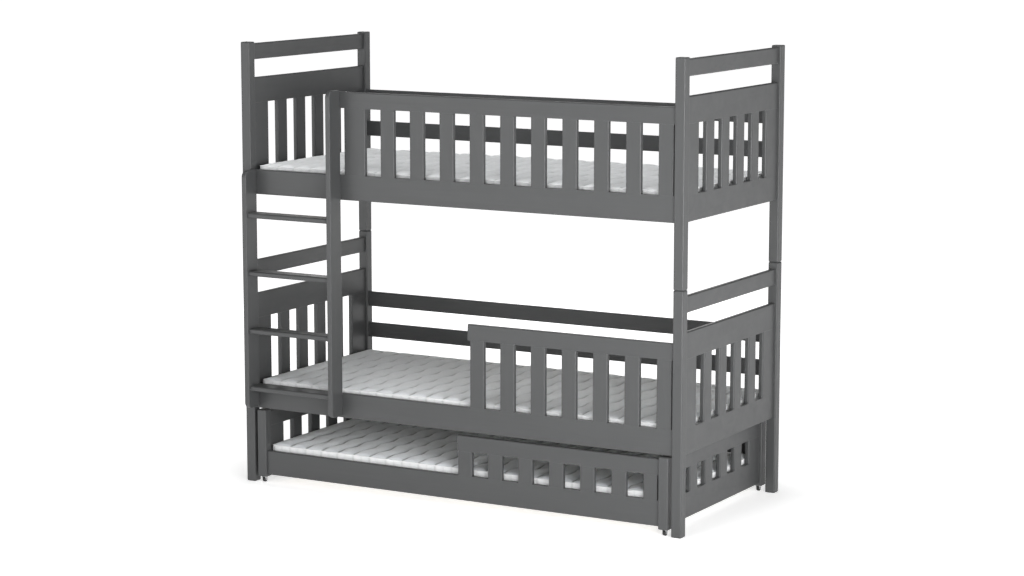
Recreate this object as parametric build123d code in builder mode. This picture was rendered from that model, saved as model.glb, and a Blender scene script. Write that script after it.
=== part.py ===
from build123d import *
import os

os.makedirs("parts", exist_ok=True)

# Bunk bed with a trundle, millimetres, +Z up.
# The origin is at floor level, in the middle of the whole footprint, the ladder included.
# X runs along the bed from the ladder end, Y from the ladder side to the wall side.

# ---------------------------------------------------------------- driving dimensions
LENGTH = 1980.0          # over the posts, along X
DEPTH = 898.0            # over the posts, along Y
HEIGHT = 1798.0          # floor to the top of the upper posts
LADDER_REACH = 66.0      # the ladder stiles stand this far in front of the posts
POST = 42.0              # square post
POST_EDGE = 5.5          # rounding of the posts' long edges
POST_END = 4.5           # rounding of the posts' top and foot
SEAM_Z = 938.0           # where an upper post stands on a lower post
SEAM_ROUND = 5.2         # rounding that makes the groove at that seam
LEVEL = 878.5            # the upper bunk repeats the lower one this much higher

BOARD = 20.0             # thickness of every board and slat
BOARD_IN = (POST - BOARD) / 2   # a board is centred in the post's width
EDGE = 5.0               # rounding of a board's free long edges
CRISP = 0.6              # eased edge where slats and boards meet
END_EDGE = 6.0           # rounding of the end slats' vertical edges

RAIL_Z = 308.0           # underside of the lower bunk's side rails and end boards
RAIL_H = 100.0
PANEL_Z = 672.5          # underside of the upper boards
PANEL_H = 102.5          # height of an end panel's upper board
TOP_RAIL_Z = 847.0       # underside of an end's top rail
TOP_RAIL_H = 65.0
GUARD_H = 64.0           # height of a guard's top board and of the back guard rails
BACK_GUARD_Z = (473.5, 608.5)   # undersides of the two back guard rails

END_SLOT_Y = 147.85      # first slot of an end panel
END_SLOT_W = 67.05
END_SLOT_PITCH = 134.09
END_SLOTS = 5

GUARD_SLAT_W = 63.1
GUARD_SLAT_X = 654.05    # left edge of the first regular guard slat
GUARD_SLAT_PITCH = 134.84
GUARD_SLATS = 10
UPPER_WIDE_SLAT = (485.3, 582.4)   # wide slat beside the ladder
UPPER_GUARD_X = 447.0    # left end of the upper guard's top board
LOWER_GUARD_X = 1049.0   # left end of the lower guard's top board
LOWER_GUARD_SKIP = 3     # the lower guard leaves out the first slats, for the way in

TENON_T, TENON_L, TENON_SHOULDER, TENON_FREE = 10.0, 15.0, 12.0, 0.2

STILE_T = 21.5           # ladder stile thickness, along X
STILE_D = 77.0           # ladder stile depth, along Y
STILE_LEFT_X, STILE_RIGHT_X = 42.0, 447.0
STILE_Z = 316.0          # foot of both stiles, over the trundle's top
STILE_LEFT_TOP, STILE_RIGHT_TOP = 1286.0, 1621.0
TREAD_T, TREAD_D = 20.0, 66.0
TREAD_TOPS = (408.9, 644.6, 880.3, 1116.0)

LEDGER_W, LEDGER_H = 25.0, 14.0
LEDGER_Z = 309.0
BED_SLAT_T, BED_SLAT_W, BED_SLATS, BED_SLAT_PITCH = 14.0, 68.0, 14, 134.0

MATTRESS_L, MATTRESS_W, MATTRESS_T = 1890.0, 806.0, 84.0
MATTRESS_CORNER, MATTRESS_EDGE = 14.0, 10.0

TRUNDLE_X = 55.0         # outer face of the trundle's left posts
TRUNDLE_L = 1870.0
TRUNDLE_D = 893.0
TRUNDLE_POST_Z, TRUNDLE_POST_TOP = 25.0, 303.0
TRUNDLE_RAIL_Z = 33.0
TRUNDLE_PANEL_Z, TRUNDLE_PANEL_H = 230.0, 63.0
TRUNDLE_GUARD_X = 1000.0
TRUNDLE_SLAT_X, TRUNDLE_SLAT_W, TRUNDLE_SLAT_PITCH, TRUNDLE_SLATS = 1003.2, 63.5, 135.3, 7
TRUNDLE_LAST_SLAT_W = 59.9   # the last guard slat is a little narrower and leaves a slit beside the post
TRUNDLE_LEDGER_Z = 41.0
TRUNDLE_MATTRESS_L, TRUNDLE_MATTRESS_W = 1804.0, 800.0

PIN_D, PIN_LEN = 12.0, 98.0          # steel pin in each post seam
BOLT_D, BOLT_HEAD_D, BOLT_HEAD_H, BOLT_LEN = 6.0, 10.0, 6.0, 80.0
COUNTERBORE_D, CAP_T = 12.4, 4.0
NUT_D, NUT_LEN, NUT_IN = 10.0, 14.0, 38.0
FREE = 0.1               # radial room round pins and bolts
BOLT_RISE = (25.0, 75.0)             # bolt heights over a side rail's underside

LADDER_BOLT_D, LADDER_BOLT_HEAD_D, LADDER_BOLT_HEAD_H, LADDER_BOLT_LEN = 6.0, 13.0, 3.5, 50.0

WHEEL_D, WHEEL_W, AXLE_D = 22.0, 12.0, 4.0
CHEEK_T, CHEEK_GAP, PLATE_T = 1.5, 0.6, 1.5

OX = -LENGTH / 2
OY = LADDER_REACH - (DEPTH + LADDER_REACH) / 2
POST_NAMES = (
    ("front_left", 0.0, 0.0, 1, 1),
    ("front_right", LENGTH - POST, 0.0, -1, 1),
    ("back_left", 0.0, DEPTH - POST, 1, -1),
    ("back_right", LENGTH - POST, DEPTH - POST, -1, -1),
)
# an end's boards: underside and height, of the lower bunk
END_BOARDS = ((RAIL_Z, RAIL_H), (PANEL_Z, PANEL_H), (TOP_RAIL_Z, TOP_RAIL_H))

# ---------------------------------------------------------------- posts
for where, post_x, post_y, inward_x, inward_y in POST_NAMES:
    cx, cy = OX + post_x + POST / 2, OY + post_y + POST / 2
    outer_x = cx - inward_x * POST / 2
    inner_y = cy + inward_y * POST / 2
    for level_name, dz, z0, z1 in (("lower", 0.0, 0.0, SEAM_Z), ("upper", LEVEL, SEAM_Z, HEIGHT)):
        lower = level_name == "lower"
        with BuildPart() as post:
            with BuildSketch(Plane.XY.offset(z0)):
                with Locations((cx, cy)):
                    RectangleRounded(POST, POST, POST_EDGE)
            extrude(amount=z1 - z0)
            fillet(post.faces().sort_by(Axis.Z)[0].edges(), radius=POST_END if lower else SEAM_ROUND)
            fillet(post.faces().sort_by(Axis.Z)[-1].edges(), radius=SEAM_ROUND if lower else POST_END)
            # socket of the steel pin that joins the two posts
            with BuildSketch(Plane.XY.offset(SEAM_Z)):
                with Locations((cx, cy)):
                    Circle(PIN_D / 2 + FREE)
            extrude(amount=-(PIN_LEN / 2) if lower else PIN_LEN / 2 + 1, mode=Mode.SUBTRACT)
            # mortises for the end panel's boards
            with BuildSketch(Plane.XZ.offset(-inner_y)):
                for board_z, board_h in END_BOARDS:
                    with Locations((cx, dz + board_z + board_h / 2)):
                        Rectangle(TENON_T + 2 * TENON_FREE, board_h - 2 * TENON_SHOULDER + 2 * TENON_FREE)
            extrude(amount=inward_y * (TENON_L + 1), mode=Mode.SUBTRACT)
            # bolt bores and counterbores for the side rail
            with BuildSketch(Plane.YZ.offset(outer_x)):
                with Locations(*((cy, dz + RAIL_Z + rise) for rise in BOLT_RISE)):
                    Circle(BOLT_D / 2 + FREE)
            extrude(amount=inward_x * POST, mode=Mode.SUBTRACT)
            with BuildSketch(Plane.YZ.offset(outer_x)):
                with Locations(*((cy, dz + RAIL_Z + rise) for rise in BOLT_RISE)):
                    Circle(COUNTERBORE_D / 2)
            extrude(amount=inward_x * (CAP_T + 1 + BOLT_HEAD_H), mode=Mode.SUBTRACT)
        post.part.label = f"post_{level_name}_{where}"
        export_step(post.part, f"parts/post_{level_name}_{where}.step")

with BuildPart() as post_joint_pins:
    with BuildSketch(Plane.XY.offset(SEAM_Z - PIN_LEN / 2)):
        with Locations(*((OX + x + POST / 2, OY + y + POST / 2) for _, x, y, _, _ in POST_NAMES)):
            Circle(PIN_D / 2)
    extrude(amount=PIN_LEN)
    chamfer(post_joint_pins.edges().filter_by(GeomType.CIRCLE), length=1.0)
post_joint_pins.part.label = "post_joint_pins"
export_step(post_joint_pins.part, "parts/post_joint_pins.step")

# ---------------------------------------------------------------- end panels, both bunks
END_X = (OX + POST / 2, OX + LENGTH - POST / 2)
END_SPAN = DEPTH - 2 * POST
for level_name, dz in (("lower", 0.0), ("upper", LEVEL)):
    # top rail of each end, rounded all round
    with BuildPart() as end_top_rails:
        with BuildSketch(Plane.XZ.offset(-(OY + DEPTH - POST))):
            with Locations(*((x, dz + TOP_RAIL_Z + TOP_RAIL_H / 2) for x in END_X)):
                RectangleRounded(BOARD, TOP_RAIL_H, EDGE)
        extrude(amount=END_SPAN)
        with BuildSketch(Plane.XZ.offset(-(OY + DEPTH - POST + TENON_L))):
            with Locations(*((x, dz + TOP_RAIL_Z + TOP_RAIL_H / 2) for x in END_X)):
                Rectangle(TENON_T, TOP_RAIL_H - 2 * TENON_SHOULDER)
        extrude(amount=END_SPAN + 2 * TENON_L)
    end_top_rails.part.label = f"{level_name}_end_top_rails"
    export_step(end_top_rails.part, f"parts/{level_name}_end_top_rails.step")

    # upper board of each end: its top is rounded, the slats meet its underside
    with BuildPart() as end_upper_boards:
        with BuildSketch(Plane.XZ.offset(-(OY + DEPTH - POST))) as section:
            with Locations(*((x, dz + PANEL_Z + PANEL_H / 2) for x in END_X)):
                Rectangle(BOARD, PANEL_H)
            fillet(section.vertices().group_by(Axis.Y)[-1], radius=EDGE)
            fillet(section.vertices().group_by(Axis.Y)[0], radius=CRISP)
        extrude(amount=END_SPAN)
        with BuildSketch(Plane.XZ.offset(-(OY + DEPTH - POST + TENON_L))):
            with Locations(*((x, dz + PANEL_Z + PANEL_H / 2) for x in END_X)):
                Rectangle(TENON_T, PANEL_H - 2 * TENON_SHOULDER)
        extrude(amount=END_SPAN + 2 * TENON_L)
    end_upper_boards.part.label = f"{level_name}_end_upper_boards"
    export_step(end_upper_boards.part, f"parts/{level_name}_end_upper_boards.step")

    # lower board of each end: its underside is rounded, the slats stand on its top
    with BuildPart() as end_lower_boards:
        with BuildSketch(Plane.XZ.offset(-(OY + DEPTH - POST))) as section:
            with Locations(*((x, dz + RAIL_Z + RAIL_H / 2) for x in END_X)):
                Rectangle(BOARD, RAIL_H)
            fillet(section.vertices().group_by(Axis.Y)[0], radius=EDGE)
            fillet(section.vertices().group_by(Axis.Y)[-1], radius=CRISP)
        extrude(amount=END_SPAN)
        with BuildSketch(Plane.XZ.offset(-(OY + DEPTH - POST + TENON_L))):
            with Locations(*((x, dz + RAIL_Z + RAIL_H / 2) for x in END_X)):
                Rectangle(TENON_T, RAIL_H - 2 * TENON_SHOULDER)
        extrude(amount=END_SPAN + 2 * TENON_L)
    end_lower_boards.part.label = f"{level_name}_end_lower_boards"
    export_step(end_lower_boards.part, f"parts/{level_name}_end_lower_boards.step")

    # upright slats of each end: four narrow ones between two wide ones that meet the posts
    first_w = END_SLOT_Y - POST
    last_slot_end = END_SLOT_Y + (END_SLOTS - 1) * END_SLOT_PITCH + END_SLOT_W
    last_w = DEPTH - POST - last_slot_end
    narrow_w = END_SLOT_PITCH - END_SLOT_W
    for side_name, x in (("left", END_X[0]), ("right", END_X[1])):
        with BuildPart() as end_slats:
            with BuildSketch(Plane.XY.offset(dz + RAIL_Z + RAIL_H)) as section:
                with Locations((x, OY + POST + first_w / 2)):
                    Rectangle(BOARD, first_w)
                with Locations((x, OY + last_slot_end + last_w / 2)):
                    Rectangle(BOARD, last_w)
                for k in range(END_SLOTS - 1):
                    with Locations((x, OY + END_SLOT_Y + k * END_SLOT_PITCH + END_SLOT_W + narrow_w / 2)):
                        Rectangle(BOARD, narrow_w)
                free_corners = section.vertices().group_by(Axis.Y)[1:-1]
                fillet([v for row in free_corners for v in row], radius=END_EDGE)
            extrude(amount=PANEL_Z - RAIL_Z - RAIL_H)
        end_slats.part.label = f"{level_name}_{side_name}_end_slats"
        export_step(end_slats.part, f"parts/{level_name}_{side_name}_end_slats.step")

# ---------------------------------------------------------------- side rails
RAIL_X = OX + POST
RAIL_L = LENGTH - 2 * POST
FRONT_Y = OY + POST / 2
BACK_Y = OY + DEPTH - POST / 2
for level_name, dz, guard_x in (("lower", 0.0, LOWER_GUARD_X), ("upper", LEVEL, UPPER_GUARD_X)):
    z = dz + RAIL_Z
    for side_name, rail_y, inside in (("front", FRONT_Y, 1), ("back", BACK_Y, -1)):
        free_len = guard_x - POST if side_name == "front" else RAIL_L
        with BuildPart() as side_rail:
            # free stretch, rounded above and below
            with BuildSketch(Plane.YZ.offset(RAIL_X)):
                with Locations((rail_y, z + RAIL_H / 2)):
                    RectangleRounded(BOARD, RAIL_H, EDGE)
            extrude(amount=free_len)
            if side_name == "front":
                # stretch that carries the guard: its top stays square for the slats
                with BuildSketch(Plane.YZ.offset(RAIL_X + free_len)) as section:
                    with Locations((rail_y, z + RAIL_H / 2)):
                        Rectangle(BOARD, RAIL_H)
                    fillet(section.vertices().group_by(Axis.Y)[0], radius=EDGE)
                    fillet(section.vertices().group_by(Axis.Y)[-1], radius=CRISP)
                extrude(amount=RAIL_L - free_len)
            # bores for the bolts in both ends, and cross bores for the barrel nuts
            for end_x, inward in ((RAIL_X, 1), (RAIL_X + RAIL_L, -1)):
                with BuildSketch(Plane.YZ.offset(end_x)):
                    with Locations(*((rail_y, z + rise) for rise in BOLT_RISE)):
                        Circle(BOLT_D / 2 + FREE)
                extrude(amount=inward * (CAP_T + 1 + BOLT_HEAD_H + BOLT_LEN - POST + 2), mode=Mode.SUBTRACT)
                with BuildSketch(Plane.XZ.offset(-(rail_y + inside * BOARD / 2))):
                    with Locations(*((end_x + inward * NUT_IN, z + rise) for rise in BOLT_RISE)):
                        Circle(NUT_D / 2 + FREE)
                extrude(amount=inside * (BOARD / 2 + NUT_LEN / 2), mode=Mode.SUBTRACT)
            if side_name == "front":
                # bores for the ladder's bolts
                with BuildSketch(Plane.XZ.offset(-(rail_y + BOARD / 2))):
                    with Locations(*((OX + x + STILE_T / 2, z + rise) for x in (STILE_LEFT_X, STILE_RIGHT_X) for rise in (45.0, 82.0))):
                        Circle(LADDER_BOLT_D / 2 + FREE)
                extrude(amount=BOARD, mode=Mode.SUBTRACT)
        side_rail.part.label = f"{level_name}_{side_name}_rail"
        export_step(side_rail.part, f"parts/{level_name}_{side_name}_rail.step")

    # two guard rails across the back of the bunk
    with BuildPart() as back_guard_rails:
        with BuildSketch(Plane.YZ.offset(RAIL_X)):
            with Locations(*((BACK_Y, dz + guard_z + GUARD_H / 2) for guard_z in BACK_GUARD_Z)):
                RectangleRounded(BOARD, GUARD_H, EDGE)
        extrude(amount=RAIL_L)
    back_guard_rails.part.label = f"{level_name}_back_guard_rails"
    export_step(back_guard_rails.part, f"parts/{level_name}_back_guard_rails.step")

# cylinder-head bolts that pull the side rails to the posts
with BuildPart() as rail_bolts:
    for outer_x, inward in ((OX, 1), (OX + LENGTH, -1)):
        spots = [(y, dz + RAIL_Z + rise) for y in (FRONT_Y, BACK_Y) for dz in (0.0, LEVEL) for rise in BOLT_RISE]
        with BuildSketch(Plane.YZ.offset(outer_x + inward * (CAP_T + 1))):
            with Locations(*spots):
                Circle(BOLT_HEAD_D / 2)
        extrude(amount=inward * BOLT_HEAD_H)
        with BuildSketch(Plane.YZ.offset(outer_x + inward * (CAP_T + 1 + BOLT_HEAD_H))):
            with Locations(*spots):
                Circle(BOLT_D / 2)
        extrude(amount=inward * BOLT_LEN)
        with BuildSketch(Plane.YZ.offset(outer_x + inward * (CAP_T + 1))):
            with Locations(*spots):
                RegularPolygon(2.5, 6, major_radius=False)
        extrude(amount=inward * 3.5, mode=Mode.SUBTRACT)
rail_bolts.part.label = "rail_bolts"
export_step(rail_bolts.part, "parts/rail_bolts.step")

# barrel nuts lying across the side rails
with BuildPart() as barrel_nuts:
    for side_y in (FRONT_Y, BACK_Y):
        with BuildSketch(Plane.XZ.offset(-(side_y + NUT_LEN / 2))):
            with Locations(*((x, dz + RAIL_Z + rise) for x in (RAIL_X + NUT_IN, RAIL_X + RAIL_L - NUT_IN) for dz in (0.0, LEVEL) for rise in BOLT_RISE)):
                Circle(NUT_D / 2)
        extrude(amount=NUT_LEN)
        for nut_x in (RAIL_X + NUT_IN, RAIL_X + RAIL_L - NUT_IN):
            with BuildSketch(Plane.YZ.offset(nut_x - NUT_D)):
                with Locations(*((side_y, dz + RAIL_Z + rise) for dz in (0.0, LEVEL) for rise in BOLT_RISE)):
                    Circle(BOLT_D / 2 + FREE)
            extrude(amount=2 * NUT_D, mode=Mode.SUBTRACT)
barrel_nuts.part.label = "barrel_nuts"
export_step(barrel_nuts.part, "parts/barrel_nuts.step")

# round caps that close the bolt counterbores, flush with the posts
with BuildPart() as bolt_caps:
    for outer_x, inward in ((OX, 1), (OX + LENGTH, -1)):
        with BuildSketch(Plane.YZ.offset(outer_x)):
            with Locations(*((y, dz + RAIL_Z + rise) for y in (FRONT_Y, BACK_Y) for dz in (0.0, LEVEL) for rise in BOLT_RISE)):
                Circle(COUNTERBORE_D / 2 - FREE)
        extrude(amount=inward * CAP_T)
    for cap_face in (bolt_caps.faces().sort_by(Axis.X)[0], bolt_caps.faces().sort_by(Axis.X)[-1]):
        rims = bolt_caps.edges().filter_by(GeomType.CIRCLE).filter_by_position(Axis.X, cap_face.center().X - 0.01, cap_face.center().X + 0.01)
        chamfer(rims, length=0.3)
bolt_caps.part.label = "bolt_caps"
export_step(bolt_caps.part, "parts/bolt_caps.step")

# ---------------------------------------------------------------- front guards
for level_name, dz, guard_x, skip, wide in (
    ("lower", 0.0, LOWER_GUARD_X, LOWER_GUARD_SKIP, None),
    ("upper", LEVEL, UPPER_GUARD_X, 0, UPPER_WIDE_SLAT),
):
    with BuildPart() as guard_board:
        with BuildSketch(Plane.YZ.offset(OX + guard_x)) as section:
            with Locations((FRONT_Y, dz + PANEL_Z + GUARD_H / 2)):
                Rectangle(BOARD, GUARD_H)
            fillet(section.vertices().group_by(Axis.Y)[-1], radius=EDGE)
            fillet(section.vertices().group_by(Axis.Y)[0], radius=CRISP)
        extrude(amount=LENGTH - POST - guard_x)
        # the free left end is eased
        chamfer(guard_board.faces().sort_by(Axis.X)[0].edges(), length=0.4)
        if wide is not None:
            # bore for the bolt that holds the right ladder stile
            with BuildSketch(Plane.XZ.offset(-(FRONT_Y + BOARD / 2))):
                with Locations((OX + STILE_RIGHT_X + STILE_T / 2, dz + PANEL_Z + GUARD_H / 2)):
                    Circle(LADDER_BOLT_D / 2 + FREE)
            extrude(amount=BOARD, mode=Mode.SUBTRACT)
    guard_board.part.label = f"{level_name}_guard_board"
    export_step(guard_board.part, f"parts/{level_name}_guard_board.step")

    with BuildPart() as guard_slats:
        with BuildSketch(Plane.XY.offset(dz + RAIL_Z + RAIL_H)):
            for k in range(skip, GUARD_SLATS):
                with Locations((OX + GUARD_SLAT_X + k * GUARD_SLAT_PITCH + GUARD_SLAT_W / 2, FRONT_Y)):
                    RectangleRounded(GUARD_SLAT_W, BOARD, EDGE)
            if wide is not None:
                with Locations((OX + (wide[0] + wide[1]) / 2, FRONT_Y)):
                    RectangleRounded(wide[1] - wide[0], BOARD, EDGE)
        extrude(amount=PANEL_Z - RAIL_Z - RAIL_H)
    guard_slats.part.label = f"{level_name}_guard_slats"
    export_step(guard_slats.part, f"parts/{level_name}_guard_slats.step")

# ---------------------------------------------------------------- ladder
STILE_BACK = OY + BOARD_IN           # the stiles stand against the rails' front faces
STILE_FRONT = STILE_BACK - STILE_D
for stile_name, stile_x, stile_top, bolt_zs in (
    ("left", STILE_LEFT_X, STILE_LEFT_TOP, (353.0, 390.0, 353.0 + LEVEL, 390.0 + LEVEL)),
    ("right", STILE_RIGHT_X, STILE_RIGHT_TOP, (353.0, 390.0, 353.0 + LEVEL, 390.0 + LEVEL, PANEL_Z + GUARD_H / 2 + LEVEL)),
):
    with BuildPart() as ladder_stile:
        with BuildSketch(Plane.YZ.offset(OX + stile_x)) as section:
            with Locations(((STILE_FRONT + STILE_BACK) / 2, (STILE_Z + stile_top) / 2)):
                Rectangle(STILE_D, stile_top - STILE_Z)
            # both front corners are well rounded
            fillet(section.vertices().group_by(Axis.X)[0], radius=26.0)
            fillet(section.vertices().group_by(Axis.X)[-1], radius=2.0)
        extrude(amount=STILE_T)
        # the broad faces' edges are rounded along the front, the top and the foot
        rims = ladder_stile.edges().group_by(Axis.X)
        front_rims = [e for e in rims[0] + rims[-1] if e.center().Y < STILE_BACK - 3]
        fillet(front_rims, radius=4.0)
        # blind bores for the bolts, from the back edge
        with BuildSketch(Plane.XZ.offset(-STILE_BACK)):
            with Locations(*((OX + stile_x + STILE_T / 2, z) for z in bolt_zs)):
                Circle(LADDER_BOLT_D / 2 + FREE)
        extrude(amount=LADDER_BOLT_LEN - BOARD + 1, mode=Mode.SUBTRACT)
    ladder_stile.part.label = f"ladder_stile_{stile_name}"
    export_step(ladder_stile.part, f"parts/ladder_stile_{stile_name}.step")

with BuildPart() as ladder_treads:
    tread_x0 = OX + STILE_LEFT_X + STILE_T
    with BuildSketch(Plane.YZ.offset(tread_x0)) as section:
        with Locations(*((STILE_BACK - TREAD_D / 2, top - TREAD_T / 2) for top in TREAD_TOPS)):
            Rectangle(TREAD_D, TREAD_T)
        fillet(section.vertices().group_by(Axis.X)[0], radius=7.0)
        fillet(section.vertices().group_by(Axis.X)[-1], radius=3.0)
    extrude(amount=STILE_RIGHT_X - STILE_LEFT_X - STILE_T)
ladder_treads.part.label = "ladder_treads"
export_step(ladder_treads.part, "parts/ladder_treads.step")

# pan-head bolts that hold the stiles, put in from the bunk's inside
with BuildPart() as ladder_bolts:
    head_y = FRONT_Y + BOARD / 2
    spots = [(OX + x + STILE_T / 2, dz + RAIL_Z + rise) for x in (STILE_LEFT_X, STILE_RIGHT_X) for dz in (0.0, LEVEL) for rise in (45.0, 82.0)]
    spots.append((OX + STILE_RIGHT_X + STILE_T / 2, PANEL_Z + GUARD_H / 2 + LEVEL))
    with BuildSketch(Plane.XZ.offset(-(head_y + LADDER_BOLT_HEAD_H))):
        with Locations(*spots):
            Circle(LADDER_BOLT_HEAD_D / 2)
    extrude(amount=LADDER_BOLT_HEAD_H)
    fillet(ladder_bolts.edges().filter_by(GeomType.CIRCLE).group_by(Axis.Y)[-1], radius=2.5)
    with BuildSketch(Plane.XZ.offset(-(head_y + LADDER_BOLT_HEAD_H))):
        with Locations(*spots):
            RegularPolygon(2.0, 6, major_radius=False)
    extrude(amount=2.0, mode=Mode.SUBTRACT)
    with BuildSketch(Plane.XZ.offset(-head_y)):
        with Locations(*spots):
            Circle(LADDER_BOLT_D / 2)
    extrude(amount=LADDER_BOLT_LEN)
ladder_bolts.part.label = "ladder_bolts"
export_step(ladder_bolts.part, "parts/ladder_bolts.step")

# ---------------------------------------------------------------- bed bases and mattresses of the bunks
for level_name, dz in (("lower", 0.0), ("upper", LEVEL)):
    # ledgers along the inside of both side rails
    with BuildPart() as ledgers:
        with BuildSketch(Plane.YZ.offset(RAIL_X + 1)):
            with Locations(
                (OY + BOARD_IN + BOARD + LEDGER_W / 2, dz + LEDGER_Z + LEDGER_H / 2),
                (OY + DEPTH - BOARD_IN - BOARD - LEDGER_W / 2, dz + LEDGER_Z + LEDGER_H / 2),
            ):
                Rectangle(LEDGER_W, LEDGER_H)
        extrude(amount=RAIL_L - 2)
    ledgers.part.label = f"{level_name}_ledgers"
    export_step(ledgers.part, f"parts/{level_name}_ledgers.step")

    # flat slats that lie across on the ledgers
    with BuildPart() as bed_slats:
        with BuildSketch(Plane.XY.offset(dz + LEDGER_Z + LEDGER_H)):
            with Locations((0, OY + DEPTH / 2)):
                with GridLocations(BED_SLAT_PITCH, 1, BED_SLATS, 1):
                    RectangleRounded(BED_SLAT_W, DEPTH - 2 * (BOARD_IN + BOARD) - 4, 3)
        extrude(amount=BED_SLAT_T)
    bed_slats.part.label = f"{level_name}_bed_slats"
    export_step(bed_slats.part, f"parts/{level_name}_bed_slats.step")

    # mattress, a plain closed block with rounded corners
    with BuildPart() as mattress:
        with BuildSketch(Plane.XY.offset(dz + LEDGER_Z + LEDGER_H + BED_SLAT_T)):
            with Locations((0, OY + DEPTH / 2)):
                RectangleRounded(MATTRESS_L, MATTRESS_W, MATTRESS_CORNER)
        extrude(amount=MATTRESS_T)
        fillet(mattress.faces().sort_by(Axis.Z)[-1].edges(), radius=MATTRESS_EDGE)
        fillet(mattress.faces().sort_by(Axis.Z)[0].edges(), radius=MATTRESS_EDGE)
    mattress.part.label = f"mattress_{level_name}"
    export_step(mattress.part, f"parts/mattress_{level_name}.step")

# ---------------------------------------------------------------- trundle
TX0 = OX + TRUNDLE_X
TX1 = TX0 + TRUNDLE_L
TY0 = OY
TY1 = OY + TRUNDLE_D
T_POSTS = [(x, y) for x in (TX0 + POST / 2, TX1 - POST / 2) for y in (TY0 + POST / 2, TY1 - POST / 2)]
T_INNER_L = TRUNDLE_L - 2 * POST

with BuildPart() as trundle_posts:
    with BuildSketch(Plane.XY.offset(TRUNDLE_POST_Z)):
        with Locations(*T_POSTS):
            RectangleRounded(POST, POST, POST_EDGE)
    extrude(amount=TRUNDLE_POST_TOP - TRUNDLE_POST_Z)
    top_rims = trundle_posts.edges().group_by(Axis.Z)[-1]
    fillet(top_rims, radius=POST_END)
    foot_rims = trundle_posts.edges().group_by(Axis.Z)[0]
    fillet(foot_rims, radius=2.0)
trundle_posts.part.label = "trundle_posts"
export_step(trundle_posts.part, "parts/trundle_posts.step")

with BuildPart() as trundle_front_rail:
    with BuildSketch(Plane.YZ.offset(TX0 + POST)):
        with Locations((TY0 + POST / 2, TRUNDLE_RAIL_Z + RAIL_H / 2)):
            RectangleRounded(BOARD, RAIL_H, EDGE)
    extrude(amount=TRUNDLE_GUARD_X - TRUNDLE_X - POST)
    with BuildSketch(Plane.YZ.offset(OX + TRUNDLE_GUARD_X)) as section:
        with Locations((TY0 + POST / 2, TRUNDLE_RAIL_Z + RAIL_H / 2)):
            Rectangle(BOARD, RAIL_H)
        fillet(section.vertices().group_by(Axis.Y)[0], radius=EDGE)
        fillet(section.vertices().group_by(Axis.Y)[-1], radius=CRISP)
    extrude(amount=TX1 - POST - OX - TRUNDLE_GUARD_X)
trundle_front_rail.part.label = "trundle_front_rail"
export_step(trundle_front_rail.part, "parts/trundle_front_rail.step")

# the trundle's back is one closed board, as high as its ends
TRUNDLE_BACK_H = TRUNDLE_PANEL_Z + TRUNDLE_PANEL_H - TRUNDLE_RAIL_Z
with BuildPart() as trundle_back_board:
    with BuildSketch(Plane.YZ.offset(TX0 + POST)):
        with Locations((TY1 - POST / 2, TRUNDLE_RAIL_Z + TRUNDLE_BACK_H / 2)):
            RectangleRounded(BOARD, TRUNDLE_BACK_H, EDGE)
    extrude(amount=T_INNER_L)
trundle_back_board.part.label = "trundle_back_board"
export_step(trundle_back_board.part, "parts/trundle_back_board.step")

with BuildPart() as trundle_guard_board:
    with BuildSketch(Plane.YZ.offset(OX + TRUNDLE_GUARD_X)) as section:
        with Locations((TY0 + POST / 2, TRUNDLE_PANEL_Z + TRUNDLE_PANEL_H / 2)):
            Rectangle(BOARD, TRUNDLE_PANEL_H)
        fillet(section.vertices().group_by(Axis.Y)[-1], radius=EDGE)
        fillet(section.vertices().group_by(Axis.Y)[0], radius=CRISP)
    extrude(amount=TX1 - POST - OX - TRUNDLE_GUARD_X)
    chamfer(trundle_guard_board.faces().sort_by(Axis.X)[0].edges(), length=0.4)
trundle_guard_board.part.label = "trundle_guard_board"
export_step(trundle_guard_board.part, "parts/trundle_guard_board.step")

with BuildPart() as trundle_guard_slats:
    with BuildSketch(Plane.XY.offset(TRUNDLE_RAIL_Z + RAIL_H)):
        for k in range(TRUNDLE_SLATS):
            slat_w = TRUNDLE_SLAT_W if k < TRUNDLE_SLATS - 1 else TRUNDLE_LAST_SLAT_W
            with Locations((OX + TRUNDLE_SLAT_X + k * TRUNDLE_SLAT_PITCH + slat_w / 2, TY0 + POST / 2)):
                RectangleRounded(slat_w, BOARD, EDGE)
    extrude(amount=TRUNDLE_PANEL_Z - TRUNDLE_RAIL_Z - RAIL_H)
trundle_guard_slats.part.label = "trundle_guard_slats"
export_step(trundle_guard_slats.part, "parts/trundle_guard_slats.step")

T_END_X = (TX0 + POST / 2, TX1 - POST / 2)
with BuildPart() as trundle_end_upper_boards:
    with BuildSketch(Plane.XZ.offset(-(TY1 - POST))) as section:
        with Locations(*((x, TRUNDLE_PANEL_Z + TRUNDLE_PANEL_H / 2) for x in T_END_X)):
            Rectangle(BOARD, TRUNDLE_PANEL_H)
        fillet(section.vertices().group_by(Axis.Y)[-1], radius=EDGE)
        fillet(section.vertices().group_by(Axis.Y)[0], radius=CRISP)
    extrude(amount=TRUNDLE_D - 2 * POST)
trundle_end_upper_boards.part.label = "trundle_end_upper_boards"
export_step(trundle_end_upper_boards.part, "parts/trundle_end_upper_boards.step")

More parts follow.
